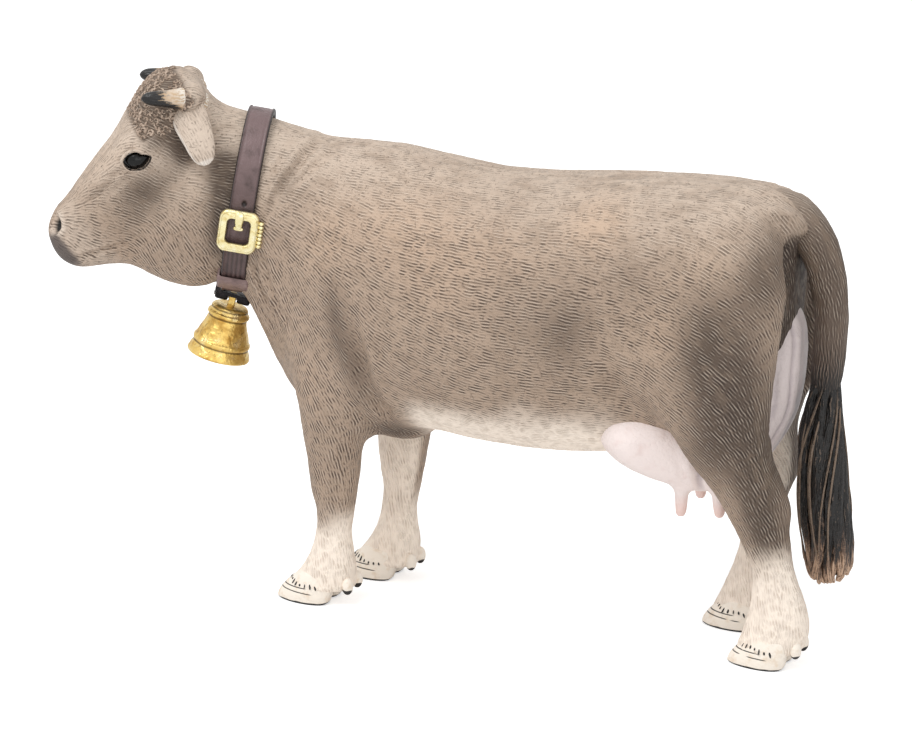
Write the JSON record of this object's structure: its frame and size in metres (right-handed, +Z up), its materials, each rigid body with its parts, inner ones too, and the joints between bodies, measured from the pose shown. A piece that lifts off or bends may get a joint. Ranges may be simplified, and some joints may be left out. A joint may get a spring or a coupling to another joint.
{
  "type": "toy farm animal figure",
  "caption": "Toy dairy cow figure standing with its head turned, with horns, ears, hanging tail, udder and a buckled collar that carries a swinging bell.",
  "frame": {"origin": "on the ground under the middle of the figure's bounding box, at the soles of its hooves", "axes": "+Z up, -X forward towards the head, -Y the animal's left side, which faces the viewer"},
  "size_m": [0.1346, 0.0418, 0.0891],
  "materials": {
    "hide": "moulded vinyl with fine hair texture, painted grey-brown fading to cream",
    "eye": "gloss black",
    "horn": "satin, cream with a dark tip",
    "tail_hair": "moulded hair, hide colour above and black below",
    "udder_skin": "satin pale pink",
    "collar": "satin dark brown, moulded as leather",
    "buckle": "bright pale gold",
    "hanger": "blackened",
    "bell_steel": "plain steel wire and ball",
    "bell_gilt": "old gold with brown patina"
  },
  "bodies": {
    "figure": {"body_left": "hide", "body_right": "hide", "head": "hide", "eye_left": "eye", "eye_right": "eye", "horn_left": "horn", "horn_right": "horn", "ear_left": "hide", "ear_right": "hide", "tail": "tail_hair", "udder": "udder_skin", "collar_strap": "collar", "strap_keeper": "collar", "buckle_frame": "buckle", "buckle_prong": "buckle", "bell_hanger": "hanger", "bell_pin": "bell_steel"},
    "bell": {"bell": "bell_gilt"},
    "clapper": {"bell_clapper": "bell_steel"}
  },
  "joints": [
    {"name": "bell_swing", "type": "hinge", "parent": "figure", "child": "bell", "pos_m": [-0.03957, -0.00411, 0.04992], "axis": [-0.9122, -0.3177, 0.2588], "range_deg": [-25, 25]},
    {"name": "clapper_swing", "type": "hinge", "parent": "bell", "child": "clapper", "pos_m": [-0.04046, -0.00442, 0.04639], "axis": [-0.9122, -0.3177, 0.2588], "range_deg": [-25, 25]}
  ]
}
